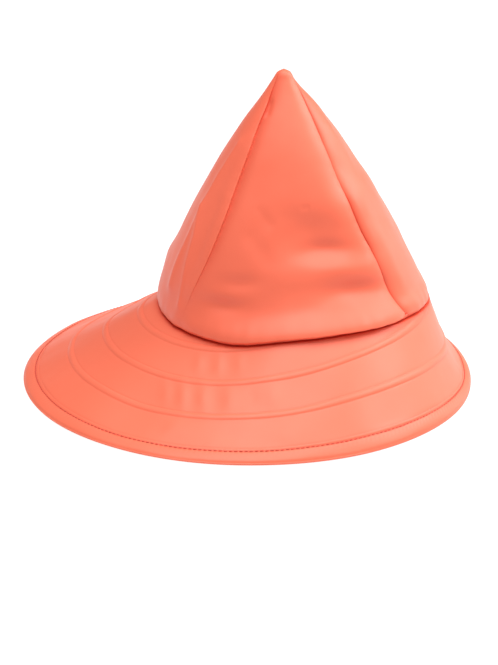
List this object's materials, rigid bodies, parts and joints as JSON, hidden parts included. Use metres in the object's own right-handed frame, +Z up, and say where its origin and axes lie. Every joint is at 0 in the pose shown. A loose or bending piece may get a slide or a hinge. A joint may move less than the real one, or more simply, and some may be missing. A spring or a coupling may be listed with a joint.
{
  "type": "sou wester hat",
  "caption": "Rain hat with a pointed crown of sewn panels and a wide sloping ribbed brim that is longest at the back, with a stitched hem.",
  "frame": {"origin": "middle of the rim's box, on the surface the hat stands on", "axes": "+Z up toward the crown's tip, +X toward the hat's front (the short side of the brim), +Y to the wearer's left"},
  "size_m": [0.293, 0.3026, 0.204],
  "materials": {
    "crown_cloth": "satin coated",
    "brim_cloth": "satin coated"
  },
  "bodies": {
    "root": {"crown_panel_right": "crown_cloth", "crown_panel_front": "crown_cloth", "crown_panel_left": "crown_cloth", "crown_panel_back": "crown_cloth", "brim": "brim_cloth", "brim_hem": "brim_cloth"}
  },
  "joints": []
}
